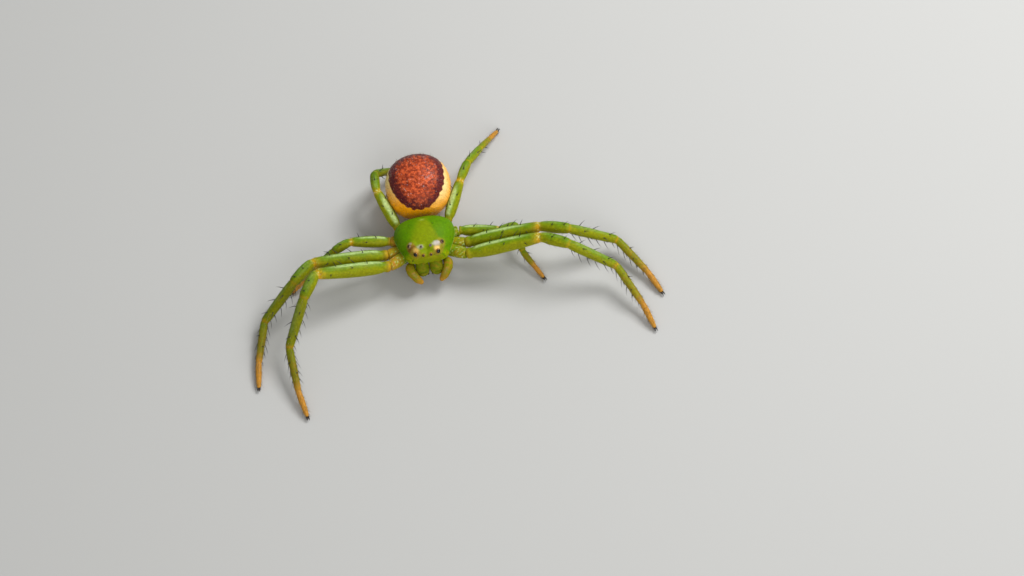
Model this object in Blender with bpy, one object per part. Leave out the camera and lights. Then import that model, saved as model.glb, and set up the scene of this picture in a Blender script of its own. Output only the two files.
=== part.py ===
"""Small green crab spider, life size, standing still with its long front legs held forward.

The sizes below are millimetres and become metres in MM. The spider faces -Y, its left side is
+X and it stands on the plane Z = 0. The stance is given leg by leg as headings and climbs.
"""
import math

import bmesh
import bpy
from mathutils import Vector

MM = 0.001

# The front half of the body, in its own frame: x outward, y back, z up
BODY_HEIGHT = 1.3
BODY_PITCH = math.radians(9.0)
# Stations of the carapace from front to back: y, half width, top and underside
CARAPACE_PROFILE = (
    (-1.23, 0.6, 0.32, 0.08),
    (-1.18, 0.77, 0.41, 0.18),
    (-1.0, 0.9, 0.5, 0.32),
    (-0.7, 1.02, 0.63, 0.46),
    (-0.3, 1.17, 0.76, 0.52),
    (0.1, 1.25, 0.79, 0.55),
    (0.42, 1.22, 0.74, 0.52),
    (0.62, 1.08, 0.63, 0.46),
    (0.75, 0.84, 0.46, 0.36),
    (0.8, 0.6, 0.3, 0.26),
)
CARAPACE_POWER = 2.3
CARAPACE_STEPS = 3
CARAPACE_SIDES = 36
PEDICEL_RADIUS = 0.25
PEDICEL_END = 0.82
COXA_RADIUS = 0.27
COXA_INNER = 0.45

# The rear half of the body, a rounded body whose sections and outline are a little blunt
ABDOMEN_CENTRE = (0.05, 2.36, 1.42)
ABDOMEN_PITCH = math.radians(-12.0)
ABDOMEN_FRONT = 1.34
ABDOMEN_REAR = 1.38
ABDOMEN_HALF_WIDTH = 1.36
ABDOMEN_TOP = 1.12
ABDOMEN_BELLY = 1.0
ABDOMEN_BLUNTNESS = 2.25
ABDOMEN_POWER = 2.1
ABDOMEN_END = 0.985
ABDOMEN_RINGS = 28
ABDOMEN_SIDES = 36

# Gaps between the nodes, and the part of a leg's gap that lies on the body's side of the hip
LEG_GAP = 0.3
GAP_SHARE = 0.6
EYE_GAP = 0.05

# Legs: segment lengths of femur, patella, tibia, metatarsus and tarsus
LEG_LENGTHS = {
    1: (3.2, 1.12, 2.25, 1.9, 1.1),
    2: (3.2, 1.12, 2.25, 1.85, 1.05),
    3: (1.7, 0.68, 1.1, 0.8, 0.6),
    4: (1.85, 0.78, 1.3, 0.95, 0.68),
}
HIPS = {
    1: (1.6, -1.02, -0.2),
    2: (1.62, -0.37, -0.26),
    3: (1.42, 0.3, -0.24),
    4: (1.02, 0.82, -0.16),
}
# For each leg and side (+1 left, -1 right): headings in degrees from straight outward toward
# the front for femur, patella, tibia and metatarsus, then climbs above level for the first three
STANCE = {
    (1, 1): ((4.0, 28.8, 23.9, 63.9), (13.4, 4.6, -27.5)),
    (1, -1): ((7.5, 60.5, 55.3, 93.3), (18.4, 3.1, -41.5)),
    (2, 1): ((3.2, 19.5, 6.5, 56.6), (10.8, 6.6, -31.2)),
    (2, -1): ((4.3, 46.3, 26.9, 75.0), (13.3, 7.4, -41.7)),
    (3, 1): ((7.8, -5.9, 86.0, 59.7), (-4.7, 6.0, -25.1)),
    (3, -1): ((-4.7, 22.3, 25.4, 27.4), (9.2, -5.7, -24.9)),
    (4, 1): ((-63.5, -62.1, -57.0, -55.3), (15.3, 0.8, -26.4)),
    (4, -1): ((-67.7, -91.2, -134.5, -161.7), (22.8, 0.0, -48.6)),
}
TARSUS_TURN = {1: 8.0, 2: 8.0, 3: 0.0, 4: 0.0}
FOOT_HEIGHT = 0.12
LEG_SIDES = 12
# Radius along each segment as (place along it, radius)
LEG_PROFILE = (
    ((0.0, 0.2), (0.04, 0.24), (0.08, 0.23), (0.14, 0.28), (0.25, 0.305), (0.4, 0.31), (0.6, 0.3),
     (0.85, 0.26), (0.96, 0.215)),
    ((0.06, 0.22), (0.25, 0.255), (0.6, 0.26), (0.85, 0.24), (0.97, 0.205)),
    ((0.05, 0.21), (0.2, 0.24), (0.5, 0.24), (0.85, 0.225), (0.97, 0.2)),
    ((0.05, 0.195), (0.2, 0.21), (0.6, 0.2), (0.88, 0.19), (0.98, 0.17)),
    ((0.06, 0.17), (0.3, 0.17), (0.7, 0.145), (0.96, 0.105)),
)
HIND_LEG_SCALE = 0.88
PAD_RADIUS = 0.15
PAD_TOP = 0.2
CLAW_SPREAD = 0.06

# Feelers beside the mouth, as joint places and radii of the left one
PALP_JOINTS = (
    (0.74, -1.0, 0.95),
    (0.82, -1.17, 1.08),
    (0.772, -1.34, 1.0),
    (0.565, -1.575, 0.78),
    (0.38, -1.61, 0.5),
)
PALP_RADII = (0.155, 0.18, 0.18, 0.168, 0.1)

# Jaws: the left one from its root to its tip
JAW_JOINTS = ((0.285, -1.04, 1.18), (0.29, -1.16, 0.98), (0.27, -1.21, 0.78), (0.22, -1.19, 0.58))
JAW_RADII = (0.25, 0.27, 0.25, 0.155)
FANG_JOINTS = ((0.2, -1.19, 0.62), (0.12, -1.22, 0.54), (0.06, -1.18, 0.46))
FANG_RADII = (0.08, 0.06, 0.02)

# Lobes behind the jaws, the left one, and the lip between them
LOBE_JOINTS = ((0.42, -0.58, 0.98), (0.36, -0.73, 0.84), (0.26, -0.81, 0.72))
LOBE_RADII = (0.16, 0.14, 0.09)
LIP_JOINTS = ((0.0, -0.4, 0.96), (0.0, -0.58, 0.86), (0.0, -0.68, 0.78))
LIP_RADII = (0.18, 0.15, 0.09)

# Eyes of the left side in the frame of the front half: place of the lens's base, the way it looks,
# radius of the lens and radius of the raised base below it
EYES = {
    "eye_anterior_lateral": ((0.46, -1.17, 0.46), (0.45, -0.8, 0.4), 0.1, 0.23),
    "eye_anterior_median": ((0.16, -1.25, 0.41), (0.12, -0.85, 0.5), 0.06, 0.11),
    "eye_posterior_median": ((0.19, -0.94, 0.62), (0.2, -0.4, 0.9), 0.06, 0.11),
    "eye_posterior_lateral": ((0.67, -0.8, 0.57), (0.7, -0.1, 0.7), 0.09, 0.22),
}
EYE_SIDES = 14
BUMP_DEPTH = 0.4

# Spinnerets in the frame of the rear half: x, z, length and radius of the left ones
SPINNERET_ROOT = 1.0
SPINNERETS = ((0.13, -0.52, 0.3, 0.11), (0.1, -0.32, 0.3, 0.1))

COLOURS = {
    "cephalothorax": (0.21, 0.31, 0.02),
    "abdomen": (0.27, 0.08, 0.02),
    "leg": (0.2, 0.28, 0.02),
    "palp": (0.3, 0.33, 0.04),
    "chelicera": (0.12, 0.26, 0.02),
    "eye": (0.02, 0.01, 0.005),
}


def clear_scene():
    """Remove every object of the start scene."""
    for item in list(bpy.data.objects):
        bpy.data.objects.remove(item, do_unlink=True)


def give_material(item, colour, roughness):
    """Give an object its own plain material."""
    material = bpy.data.materials.new(item.name)
    material.use_nodes = True
    shader = material.node_tree.nodes["Principled BSDF"]
    shader.inputs["Base Color"].default_value = (*colour, 1.0)
    shader.inputs["Roughness"].default_value = roughness
    item.data.materials.append(material)


def add_object(name, points, faces):
    """Make an object from points in millimetres and its faces."""
    mesh = bpy.data.meshes.new(name)
    mesh.from_pydata([tuple(c * MM for c in p) for p in points], [], faces)
    mesh.validate()
    item = bpy.data.objects.new(name, mesh)
    bpy.context.scene.collection.objects.link(item)
    return item


def skin_rings(name, rings):
    """Join rings of equally many points into one closed body with flat ends."""
    count = len(rings[0])
    points = [p for ring in rings for p in ring]
    faces = []
    for row in range(len(rings) - 1):
        for col in range(count):
            nxt = (col + 1) % count
            low = row * count
            high = low + count
            faces.append((low + col, low + nxt, high + nxt, high + col))
    last = (len(rings) - 1) * count
    faces.append(tuple(reversed(range(count))))
    faces.append(tuple(range(last, last + count)))
    return add_object(name, points, faces)


def sweep(name, path, radii, sides=LEG_SIDES):
    """Sweep a round section along a path, turning it as little as possible."""
    path = [Vector(p) for p in path]
    side = None
    rings = []
    for index, centre in enumerate(path):
        before = path[max(index - 1, 0)]
        after = path[min(index + 1, len(path) - 1)]
        ahead = (after - before).normalized()
        if side is None:
            helper = Vector((0, 0, 1)) if abs(ahead.z) < 0.9 else Vector((0, 1, 0))
            side = ahead.cross(helper).normalized()
        side = (side - ahead * side.dot(ahead)).normalized()
        up = side.cross(ahead)
        ring = []
        for step in range(sides):
            angle = 2 * math.pi * step / sides
            ring.append(centre + radii[index] * (side * math.cos(angle) + up * math.sin(angle)))
        rings.append(ring)
    item = skin_rings(name, [list(reversed(r)) for r in rings])
    return item


def keep_largest_surface(item):
    """Drop all but the largest closed surface of an object."""
    mesh = bmesh.new()
    mesh.from_mesh(item.data)
    left = set(mesh.verts)
    surfaces = []
    while left:
        seed = min(left, key=lambda v: v.index)
        surface = {seed}
        edge = [seed]
        while edge:
            vertex = edge.pop()
            for link in vertex.link_edges:
                other = link.other_vert(vertex)
                if other not in surface:
                    surface.add(other)
                    edge.append(other)
        left -= surface
        surfaces.append(surface)
    largest = max(surfaces, key=len)
    bmesh.ops.delete(mesh, geom=[v for v in mesh.verts if v not in largest], context="VERTS")
    mesh.to_mesh(item.data)
    mesh.free()


def fuse(base, pieces):
    """Join pieces to a base by one Boolean union, apply it and remove the pieces."""
    group = bpy.data.collections.new("pieces_of_" + base.name)
    for piece in pieces:
        group.objects.link(piece)
    union = base.modifiers.new("union", "BOOLEAN")
    union.operation = "UNION"
    union.solver = "EXACT"
    union.operand_type = "COLLECTION"
    union.collection = group
    graph = bpy.context.evaluated_depsgraph_get()
    joined = bpy.data.meshes.new_from_object(base.evaluated_get(graph))
    base.modifiers.clear()
    base.data = joined
    for piece in pieces:
        bpy.data.objects.remove(piece, do_unlink=True)
    bpy.data.collections.remove(group)
    keep_largest_surface(base)


def body_point(local):
    """Place a point of the front half of the body in the row's frame."""
    x, y, z = local
    cos, sin = math.cos(BODY_PITCH), math.sin(BODY_PITCH)
    return Vector((x, y * cos + z * sin, z * cos - y * sin + BODY_HEIGHT))


def body_direction(local):
    """Turn a direction of the front half of the body into the row's frame."""
    return (body_point(local) - body_point((0, 0, 0))).normalized()


def oval_ring(half_width, top, bottom, y, power, sides):
    """A ring of an oval section whose upper and lower halves differ."""
    ring = []
    for step in range(sides):
        angle = 2 * math.pi * step / sides
        c, s = math.cos(angle), math.sin(angle)
        x = half_width * math.copysign(abs(c) ** (2 / power), c)
        reach = top if s > 0 else bottom
        z = reach * math.copysign(abs(s) ** (2 / power), s)
        ring.append((x, y, z))
    return ring


def stations(profile, steps):
    """Fill in a profile table with smooth stations between the named ones."""
    rows = []
    last = len(profile) - 1
    for index in range(last):
        before = profile[max(index - 1, 0)]
        start = profile[index]
        end = profile[index + 1]
        after = profile[min(index + 2, last)]
        for step in range(steps):
            t = step / steps
            row = []
            for a, b, c, d in zip(before, start, end, after):
                square = 2 * a - 5 * b + 4 * c - d
                cube = 3 * b - a - 3 * c + d
                row.append((2 * b + (c - a) * t + square * t ** 2 + cube * t ** 3) / 2)
            rows.append(row)
    rows.append(profile[last])
    return rows


def carapace():
    """The shield over the front half of the body, high behind and steep in front."""
    rings = []
    for y, half_width, top, bottom in stations(CARAPACE_PROFILE, CARAPACE_STEPS):
        ring = oval_ring(half_width, top, bottom, y, CARAPACE_POWER, CARAPACE_SIDES)
        rings.append([body_point(p) for p in ring])
    return skin_rings("cephalothorax", rings)


def hip_place(leg, side):
    """Where a leg joins its coxa."""
    x, y, z = HIPS[leg]
    return body_point((side * x, y, z))


def coxae():
    """Short stubs round the underside that the legs grow from."""
    stubs = []
    for leg, side in STANCE:
        hip = hip_place(leg, side)
        x, y, z = HIPS[leg]
        inner = body_point((side * x * COXA_INNER, y * COXA_INNER, z - 0.1))
        way = (hip - inner).normalized()
        outer = hip - way * LEG_GAP * GAP_SHARE
        radii = (COXA_RADIUS * 0.8, COXA_RADIUS, COXA_RADIUS * 0.85)
        stubs.append(sweep(f"coxa_{leg}_{side}", (inner, inner.lerp(outer, 0.7), outer), radii))
    return stubs


def pedicel():
    """The narrow waist behind the carapace."""
    start = body_point((0, 0.4, -0.12))
    end = Vector((0, PEDICEL_END, start.z - 0.02))
    return sweep("pedicel", (start, end), (PEDICEL_RADIUS, PEDICEL_RADIUS))


def eye_frame(name, side):
    """Lens base and looking direction of an eye in the row's frame."""
    place, way, radius, bump = EYES[name]
    base = body_point((side * place[0], place[1], place[2]))
    return base, body_direction((side * way[0], way[1], way[2])), radius, bump


def eye_bumps():
    """The raised tubercles the eyes sit on."""
    bumps = []
    for name in EYES:
        for side in (1, -1):
            base, way, radius, bump = eye_frame(name, side)
            path = (base - way * BUMP_DEPTH, base - way * bump * 0.7, base - way * bump * 0.25, base)
            radii = (bump, bump, bump * 0.85, max(radius, bump * 0.55))
            bumps.append(sweep(f"bump_{name}_{side}", path, radii, EYE_SIDES))
    return bumps


def eyes():
    """Eight domed lenses, each a node of its own."""
    for name in EYES:
        for side in (1, -1):
            base, way, radius, _ = eye_frame(name, side)
            foot = base + way * EYE_GAP
            path = [foot + way * radius * k for k in (0.0, 0.35, 0.7, 0.92)]
            radii = [radius * k for k in (1.0, 0.94, 0.7, 0.35)]
            item = sweep(f"{name}_{'left' if side > 0 else 'right'}", path, radii, EYE_SIDES)
            give_material(item, COLOURS["eye"], 0.1)


def abdomen_point(local):
    """Place a point of the rear half of the body in the row's frame."""
    x, y, z = local
    cos, sin = math.cos(ABDOMEN_PITCH), math.sin(ABDOMEN_PITCH)
    cx, cy, cz = ABDOMEN_CENTRE
    return Vector((cx + x, cy + y * cos + z * sin, cz + z * cos - y * sin))


def abdomen():
    """The round rear half, a little blunt at both ends."""
    rings = []
    for row in range(ABDOMEN_RINGS):
        place = -math.cos(math.pi * row / (ABDOMEN_RINGS - 1)) * ABDOMEN_END
        size = (1 - abs(place) ** ABDOMEN_BLUNTNESS) ** (1 / ABDOMEN_BLUNTNESS)
        y = place * (ABDOMEN_REAR if place > 0 else ABDOMEN_FRONT)
        width, top, belly = (size * k for k in (ABDOMEN_HALF_WIDTH, ABDOMEN_TOP, ABDOMEN_BELLY))
        ring = oval_ring(width, top, belly, y, ABDOMEN_POWER, ABDOMEN_SIDES)
        rings.append([abdomen_point(p) for p in ring])
    return skin_rings("abdomen", rings)


def spinnerets():
    """Short cones under the rear pole of the abdomen."""
    cones = []
    for index, (x, drop, length, radius) in enumerate(SPINNERETS):
        for side in (1, -1):
            start = abdomen_point((side * x, SPINNERET_ROOT, drop))
            way = Vector((side * 0.15, 0.9, -0.15)).normalized()
            path = (start - way * 0.2, start + way * length * 0.6, start + way * length)
            cones.append(sweep(f"spinneret_{index}_{side}", path, (radius, radius, radius * 0.5)))
    return cones


def heading_vector(side, heading, climb):
    """Unit vector for a heading toward the front and a climb above level."""
    h, c = math.radians(heading), math.radians(climb)
    return Vector((side * math.cos(h) * math.cos(c), -math.sin(h) * math.cos(c), math.sin(c)))


def leg_joints(leg, side):
    """Joint places of one leg from its hip to its foot."""
    headings, climbs = STANCE[(leg, side)]
    lengths = LEG_LENGTHS[leg]
    joints = [hip_place(leg, side)]
    for index in range(3):
        joints.append(joints[-1] + lengths[index] * heading_vector(side, headings[index], climbs[index]))
    fall = (FOOT_HEIGHT - joints[-1].z) / (lengths[3] + lengths[4])
    climb = math.degrees(math.asin(fall))
    joints.append(joints[-1] + lengths[3] * heading_vector(side, headings[3], climb))
    joints.append(joints[-1] + lengths[4] * heading_vector(side, headings[3] + TARSUS_TURN[leg], climb))
    return joints


def leg(number, side):
    """One leg: five swollen segments, a pad flat on the ground and two claws."""
    joints = leg_joints(number, side)
    scale = HIND_LEG_SCALE if number > 2 else 1.0
    path = []
    radii = []
    for index, profile in enumerate(LEG_PROFILE):
        start, end = joints[index], joints[index + 1]
        if index == 0:
            start = start + (end - start).normalized() * LEG_GAP * (1 - GAP_SHARE)
        for place, radius in profile:
            path.append(start.lerp(end, place))
            radii.append(radius * scale)
    label = f"leg_{number}_{'left' if side > 0 else 'right'}"
    limb = sweep(label, path, radii)
    foot = joints[-1]
    pad_path = ((foot.x, foot.y, 0), (foot.x, foot.y, PAD_TOP))
    pad = sweep("pad_" + label, pad_path, (PAD_RADIUS, PAD_RADIUS * 0.8))
    ahead = (joints[-1] - joints[-2]).normalized()
    ahead = Vector((ahead.x, ahead.y, 0)).normalized()
    across = Vector((-ahead.y, ahead.x, 0))
    claws = []
    for turn in (1, -1):
        root = foot + across * CLAW_SPREAD * turn
        bend = root + ahead * 0.2 + Vector((0, 0, 0.02))
        tip = root + ahead * 0.27 - Vector((0, 0, 0.05))
        claws.append(sweep(f"claw_{turn}_{label}", (root, bend, tip), (0.05, 0.04, 0.02), 8))
    fuse(limb, [pad] + claws)
    give_material(limb, COLOURS["leg"], 0.35)
    return limb


def mirrored(points, side):
    """Points of the left side, or their mirror images for the right."""
    return [(side * x, y, z) for x, y, z in points]


def palps():
    """The pair of feelers curving in front of the jaws."""
    for side in (1, -1):
        joints = [Vector(p) for p in mirrored(PALP_JOINTS, side)]
        path = []
        radii = []
        for index in range(len(joints) - 1):
            for place in (0.0, 0.33, 0.67):
                path.append(joints[index].lerp(joints[index + 1], place))
                radii.append(PALP_RADII[index] * (1 - place) + PALP_RADII[index + 1] * place)
        path.append(joints[-1])
        radii.append(PALP_RADII[-1])
        item = sweep(f"palp_{'left' if side > 0 else 'right'}", path, radii)
        give_material(item, COLOURS["palp"], 0.35)


def mouth_lobes():
    """The pair of lobes and the lip that close the mouth from below."""
    pieces = [sweep("lip", LIP_JOINTS, LIP_RADII)]
    for side in (1, -1):
        pieces.append(sweep(f"lobe_{side}", mirrored(LOBE_JOINTS, side), LOBE_RADII))
    return pieces


def jaws():
    """The pair of chelicerae with a short fang each."""
    for side in (1, -1):
        label = "left" if side > 0 else "right"
        item = sweep(f"chelicera_{label}", mirrored(JAW_JOINTS, side), JAW_RADII)
        fang = sweep(f"fang_{label}", mirrored(FANG_JOINTS, side), FANG_RADII, 10)
        fuse(item, [fang])
        give_material(item, COLOURS["chelicera"], 0.3)


def set_on_origin():
    """Move everything so that the middle of the box's base is the origin."""
    bpy.context.view_layer.update()
    corners = []
    for item in bpy.data.objects:
        corners += [v.co for v in item.data.vertices]
    low = [min(c[axis] for c in corners) for axis in range(2)]
    high = [max(c[axis] for c in corners) for axis in range(2)]
    shift = Vector((-(low[0] + high[0]) / 2, -(low[1] + high[1]) / 2, 0))
    for item in bpy.data.objects:
        for vertex in item.data.vertices:
            vertex.co += shift
    print("shift in mm", [round(c / MM, 4) for c in shift])


def main():
    """Build every node."""
    clear_scene()
    front = carapace()
    fuse(front, coxae() + [pedicel()] + mouth_lobes() + eye_bumps())
    give_material(front, COLOURS["cephalothorax"], 0.3)
    rear = abdomen()
    fuse(rear, spinnerets())
    give_material(rear, COLOURS["abdomen"], 0.5)
    for number, side in STANCE:
        leg(number, side)
    palps()
    jaws()
    eyes()
    set_on_origin()


main()
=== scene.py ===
"""Looks of the small green crab spider: skin, eyes, bristles, claws, markings, light and camera.

Sizes are millimetres in the frame the spider was measured in, whose origin is the ground below
its front half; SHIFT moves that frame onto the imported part. Colours are linear.
"""
import math
import random

import bpy
import numpy as np
from mathutils import Matrix, Vector, noise

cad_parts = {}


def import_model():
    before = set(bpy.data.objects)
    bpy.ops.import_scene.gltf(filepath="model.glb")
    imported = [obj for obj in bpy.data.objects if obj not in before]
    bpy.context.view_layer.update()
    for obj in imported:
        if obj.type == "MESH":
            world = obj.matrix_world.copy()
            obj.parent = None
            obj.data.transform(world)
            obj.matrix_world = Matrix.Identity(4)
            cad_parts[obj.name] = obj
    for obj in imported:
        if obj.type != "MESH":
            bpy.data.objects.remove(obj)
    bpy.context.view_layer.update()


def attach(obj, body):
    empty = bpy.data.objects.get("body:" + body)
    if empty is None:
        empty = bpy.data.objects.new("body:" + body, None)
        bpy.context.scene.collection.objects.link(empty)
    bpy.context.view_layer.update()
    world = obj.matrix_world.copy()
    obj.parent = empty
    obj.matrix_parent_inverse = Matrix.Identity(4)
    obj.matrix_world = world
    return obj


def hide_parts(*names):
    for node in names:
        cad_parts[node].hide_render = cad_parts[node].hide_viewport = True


MM = 0.001
SHIFT = np.array((-0.8036, 0.7458, 0.0))

# Camera: picture scale, direction and roll, and the picture's centre from the frame's origin
PIXELS_PER_MM = 24.4
PICTURE = (1024, 576)
ORIGIN_PIXEL = (427.9, 253.8)
CAMERA_CLIMB = math.radians(60.0)
CAMERA_ROLL = math.radians(-9.3)
CAMERA_LENS = 185.0
CAMERA_SENSOR = 36.0

# Front half of the body
BODY_HEIGHT = 1.3
BODY_PITCH = math.radians(9.0)
CARAPACE_PROFILE = (
    (-1.225, 0.57, 0.3, 0.07),
    (-1.175, 0.75, 0.395, 0.17),
    (-1.0, 0.885, 0.49, 0.31),
    (-0.7, 1.005, 0.62, 0.45),
    (-0.3, 1.155, 0.75, 0.51),
    (0.1, 1.24, 0.78, 0.54),
    (0.42, 1.21, 0.73, 0.51),
    (0.62, 1.07, 0.62, 0.45),
    (0.745, 0.835, 0.455, 0.355),
    (0.79, 0.59, 0.295, 0.255),
)
CARAPACE_POWER = 2.3
CARAPACE_STEPS = 14
CARAPACE_SIDES = 200
COXA_INNER = 0.45
COXA_RADIUS = 0.255

# Rear half of the body
ABDOMEN_CENTRE = (0.05, 2.36, 1.42)
ABDOMEN_PITCH = math.radians(-12.0)
ABDOMEN_FRONT = 1.335
ABDOMEN_REAR = 1.375
ABDOMEN_HALF_WIDTH = 1.35
ABDOMEN_TOP = 1.105
ABDOMEN_BELLY = 0.985
ABDOMEN_BLUNTNESS = 2.2
ABDOMEN_POWER = 2.1
ABDOMEN_RINGS = 200
ABDOMEN_SIDES = 260
# Half sizes of the oval on which the dark mark is laid out
MARK_OVAL = (1.35, 1.34, 1.1)
SPINNERET_ROOT = 1.0
SPINNERETS = ((0.13, -0.52, 0.29, 0.1), (0.1, -0.32, 0.29, 0.09))

# Legs
LEG_LENGTHS = {
    1: (3.2, 1.12, 2.25, 1.9, 1.1),
    2: (3.2, 1.12, 2.25, 1.85, 1.05),
    3: (1.7, 0.68, 1.1, 0.8, 0.6),
    4: (1.85, 0.78, 1.3, 0.95, 0.68),
}
HIPS = {
    1: (1.6, -1.02, -0.2),
    2: (1.62, -0.37, -0.26),
    3: (1.42, 0.3, -0.24),
    4: (1.02, 0.82, -0.16),
}
STANCE = {
    (1, 1): ((4.0, 28.8, 23.9, 63.9), (13.4, 4.6, -27.5)),
    (1, -1): ((7.5, 60.5, 55.3, 93.3), (18.4, 3.1, -41.5)),
    (2, 1): ((3.2, 19.5, 6.5, 56.6), (10.8, 6.6, -31.2)),
    (2, -1): ((4.3, 46.3, 26.9, 75.0), (13.3, 7.4, -41.7)),
    (3, 1): ((7.8, -5.9, 86.0, 59.7), (-4.7, 6.0, -25.1)),
    (3, -1): ((-4.7, 22.3, 25.4, 27.4), (9.2, -5.7, -24.9)),
    (4, 1): ((-63.5, -62.1, -57.0, -55.3), (15.3, 0.8, -26.4)),
    (4, -1): ((-67.7, -91.2, -134.5, -161.7), (22.8, 0.0, -48.6)),
}
TARSUS_TURN = {1: 8.0, 2: 8.0, 3: 0.0, 4: 0.0}
FOOT_HEIGHT = 0.12
# Radius along the leg as (segment number + place along it, radius)
LEG_RADII = (
    (0.0, 0.2), (0.02, 0.225), (0.045, 0.23), (0.065, 0.212), (0.09, 0.222), (0.15, 0.262), (0.25, 0.292),
    (0.4, 0.3), (0.6, 0.29), (0.85, 0.25), (0.95, 0.222), (0.985, 0.21), (1.0, 0.19),
    (1.03, 0.195), (1.09, 0.21),
    (1.3, 0.24), (1.6, 0.246), (1.88, 0.228), (1.965, 0.21), (2.0, 0.185), (2.025, 0.185), (2.07, 0.195),
    (2.2, 0.21), (2.5, 0.206), (2.8, 0.188), (2.95, 0.175), (2.985, 0.17), (3.0, 0.148), (3.02, 0.148),
    (3.06, 0.158), (3.3, 0.163), (3.7, 0.147), (3.95, 0.134), (3.985, 0.13), (4.0, 0.112), (4.03, 0.112),
    (4.08, 0.122), (4.35, 0.128), (4.75, 0.108), (4.93, 0.085), (5.0, 0.055),
)
HIND_LEG_SCALE = 0.8
CORNER = 0.2
RING_STEP = 0.035
LEG_SIDES = 40

# Feelers, jaws and fangs of the left side
PALP_JOINTS = (
    (0.73, -1.0, 0.96), (0.79, -1.17, 1.07), (0.75, -1.34, 0.99), (0.56, -1.57, 0.78), (0.38, -1.61, 0.5),
)
PALP_RADII = (0.165, 0.195, 0.195, 0.168, 0.09)
JAW_JOINTS = ((0.285, -1.0, 1.22), (0.29, -1.18, 0.98), (0.27, -1.22, 0.78), (0.22, -1.2, 0.58))
JAW_RADII = (0.26, 0.288, 0.265, 0.155)
LOBE_JOINTS = ((0.42, -0.58, 0.98), (0.36, -0.73, 0.84), (0.26, -0.81, 0.72))
LOBE_RADII = (0.155, 0.135, 0.085)
LIP_JOINTS = ((0.0, -0.4, 0.96), (0.0, -0.58, 0.86), (0.0, -0.68, 0.78))
LIP_RADII = (0.175, 0.145, 0.085)
FANG_JOINTS = ((0.19, -1.21, 0.62), (0.11, -1.25, 0.55), (0.05, -1.2, 0.47))
FANG_RADII = (0.078, 0.058, 0.018)
TIP_ROUNDNESS = 0.5

# Eyes: lens centre, looking direction, lens radius, width and height of the raised base
EYES = {
    "eye_anterior_lateral": ((0.46, -1.17, 0.46), (0.45, -0.8, 0.4), 0.1, 0.22, 0.15),
    "eye_anterior_median": ((0.16, -1.25, 0.41), (0.12, -0.85, 0.5), 0.06, 0.11, 0.06),
    "eye_posterior_median": ((0.19, -0.94, 0.62), (0.2, -0.4, 0.9), 0.06, 0.11, 0.06),
    "eye_posterior_lateral": ((0.67, -0.8, 0.57), (0.7, -0.1, 0.7), 0.09, 0.21, 0.14),
}

# Colours
GREEN_SIDE = (0.092, 0.225, 0.001)
GREEN_MIDDLE = (0.21, 0.27, 0.003)
GREEN_LEG = (0.125, 0.23, 0.004)
OLIVE_LEG = (0.25, 0.26, 0.002)
YELLOW_JOINT = (0.58, 0.32, 0.01)
BROWN_HIP = (0.4, 0.17, 0.02)
ORANGE_TIP = (0.5, 0.23, 0.03)
SHANK_BROWN = (0.27, 0.19, 0.012)
PALE_LINE = (0.62, 0.8, 0.36)
PALE_RIM = (0.42, 0.56, 0.12)
LILAC = (0.62, 0.57, 0.56)
EYE_YELLOW = (0.85, 0.55, 0.16)
EYE_OLIVE = (0.3, 0.24, 0.03)
EYE_RED = (0.16, 0.05, 0.012)
CREAM = (0.9, 0.7, 0.3)
ORANGE = (1.0, 0.38, 0.005)
MAROON = (0.055, 0.006, 0.007)
PLUM = (0.06, 0.006, 0.012)
RUST = (0.3, 0.042, 0.012)
EMBER = (0.55, 0.095, 0.026)
FACE_GREEN = (0.2, 0.3, 0.001)
FACE_OLIVE = (0.35, 0.29, 0.004)
JAW_GREEN = (0.11, 0.2, 0.002)
JAW_TIP = (0.07, 0.015, 0.008)
PALP_TIP = (0.05, 0.015, 0.006)
FANG_BROWN = (0.02, 0.008, 0.004)
CLAW_BROWN = (0.012, 0.007, 0.004)
BRISTLE_BLACK = (0.006, 0.005, 0.004)
SOCKET_BROWN = (0.01, 0.007, 0.004)
BODY_HAIR = (0.02, 0.014, 0.006)
# Darkest and palest hair of a leg, of a foot's tuft and of the rear half
LEG_HAIR = ((0.05, 0.035, 0.015), (0.45, 0.4, 0.2))
TUFT_HAIR = ((0.06, 0.03, 0.012), (0.25, 0.12, 0.04))
REAR_HAIR = ((0.03, 0.02, 0.01), (0.5, 0.42, 0.25))
# Way a pale line runs along the top of each leg, and the way that counts as its upper side
LINE_WAY = (0.0, 0.35, 0.94)
UPPER_WAY = (0.0, 0.6, 0.8)


def mix(a, b, t):
    """Blend two colours, or arrays of them, by t."""
    t = np.clip(np.asarray(t, float), 0, 1)
    a, b = np.asarray(a, float), np.asarray(b, float)
    if t.ndim:
        t = t[:, None]
    return a * (1 - t) + b * t


def ease(low, high, value):
    """0 below low, 1 above high, eased between."""
    t = np.clip((np.asarray(value, float) - low) / (high - low), 0, 1)
    return t * t * (3 - 2 * t)


def unit(v):
    """Vectors scaled to length 1."""
    v = np.asarray(v, float)
    return v / np.maximum(np.linalg.norm(v, axis=-1, keepdims=True), 1e-9)


def noise_at(points, size, seed=0.0):
    """Smooth noise between about -1 and 1 at points, with features of that size."""
    offset = Vector((seed * 7.3, seed * 3.1, seed * 5.7))
    return np.array([noise.noise(Vector(p) / size + offset) for p in points])


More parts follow.
